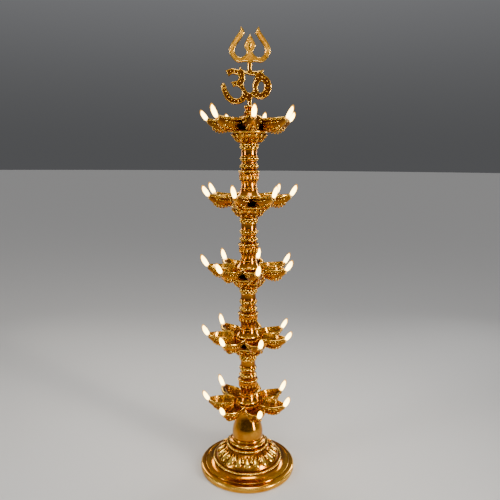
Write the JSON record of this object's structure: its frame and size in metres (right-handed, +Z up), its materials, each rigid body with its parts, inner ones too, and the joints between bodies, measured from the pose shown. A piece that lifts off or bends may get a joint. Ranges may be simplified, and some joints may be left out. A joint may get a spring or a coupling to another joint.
{
  "type": "tiered standing oil lamp",
  "caption": "Tall brass oil lamp: lotus trays of spouted petals with cotton wicks stacked on a turned stem over a round foot, under a flat pierced finial.",
  "frame": {"origin": "centre of the foot on the floor, on the axis of the stem", "axes": "+Z up along the stem; the flat face of the finial looks along -Y, the front; +X is to the right seen from the front"},
  "size_m": [0.16, 0.16, 0.7177],
  "materials": {
    "brass": "cast and turned brass, polished on the high places, darkened in the recesses",
    "plated_steel": "dull zinc-plated steel studs, bolt and washer",
    "cotton": "hand-rolled cotton, soaked in oil, burnt black at the tip"
  },
  "bodies": {
    "stack": {"base_foot": "brass", "base_bell": "brass", "base_bolt": "plated_steel", "base_washer": "plated_steel", "stem_1": "brass", "stem_2": "brass", "stem_3": "brass", "stem_4": "brass", "tier_2_cup": "brass", "tier_3_cup": "brass", "tier_4_cup": "brass", "tier_5_cup": "brass", "tier_1_stud": "plated_steel", "tier_2_stud": "plated_steel", "tier_3_stud": "plated_steel", "tier_4_stud": "plated_steel", "tier_5_stud": "plated_steel"},
    "tier_1": {"tier_1_plate": "brass", "tier_1_wick_1": "cotton", "tier_1_wick_2": "cotton", "tier_1_wick_3": "cotton", "tier_1_wick_4": "cotton", "tier_1_wick_5": "cotton", "tier_1_wick_6": "cotton", "tier_1_wick_7": "cotton"},
    "tier_2": {"tier_2_plate": "brass", "tier_2_wick_1": "cotton", "tier_2_wick_2": "cotton", "tier_2_wick_3": "cotton", "tier_2_wick_4": "cotton", "tier_2_wick_5": "cotton", "tier_2_wick_6": "cotton", "tier_2_wick_7": "cotton"},
    "tier_3": {"tier_3_plate": "brass", "tier_3_wick_1": "cotton", "tier_3_wick_2": "cotton", "tier_3_wick_3": "cotton", "tier_3_wick_4": "cotton", "tier_3_wick_5": "cotton", "tier_3_wick_6": "cotton", "tier_3_wick_7": "cotton"},
    "tier_4": {"tier_4_plate": "brass", "tier_4_wick_1": "cotton", "tier_4_wick_2": "cotton", "tier_4_wick_3": "cotton", "tier_4_wick_4": "cotton", "tier_4_wick_5": "cotton", "tier_4_wick_6": "cotton", "tier_4_wick_7": "cotton"},
    "tier_5": {"tier_5_plate": "brass", "tier_5_wick_1": "cotton", "tier_5_wick_2": "cotton", "tier_5_wick_3": "cotton", "tier_5_wick_4": "cotton", "tier_5_wick_5": "cotton", "tier_5_wick_6": "cotton", "tier_5_wick_7": "cotton"},
    "finial": {"finial_pedestal": "brass", "om_trident": "brass"}
  },
  "joints": [
    {"name": "tier_1_turn", "type": "hinge", "parent": "stack", "child": "tier_1", "pos_m": [0, 0, 0.122], "axis": [0, 0, 1], "continuous": true},
    {"name": "tier_2_turn", "type": "hinge", "parent": "stack", "child": "tier_2", "pos_m": [0, 0, 0.237], "axis": [0, 0, 1], "continuous": true},
    {"name": "tier_3_turn", "type": "hinge", "parent": "stack", "child": "tier_3", "pos_m": [0, 0, 0.352], "axis": [0, 0, 1], "continuous": true},
    {"name": "tier_4_turn", "type": "hinge", "parent": "stack", "child": "tier_4", "pos_m": [0, 0, 0.467], "axis": [0, 0, 1], "continuous": true},
    {"name": "tier_5_turn", "type": "hinge", "parent": "stack", "child": "tier_5", "pos_m": [0, 0, 0.582], "axis": [0, 0, 1], "continuous": true},
    {"name": "finial_turn", "type": "hinge", "parent": "stack", "child": "finial", "pos_m": [0, 0, 0.582], "axis": [0, 0, 1], "continuous": true}
  ]
}
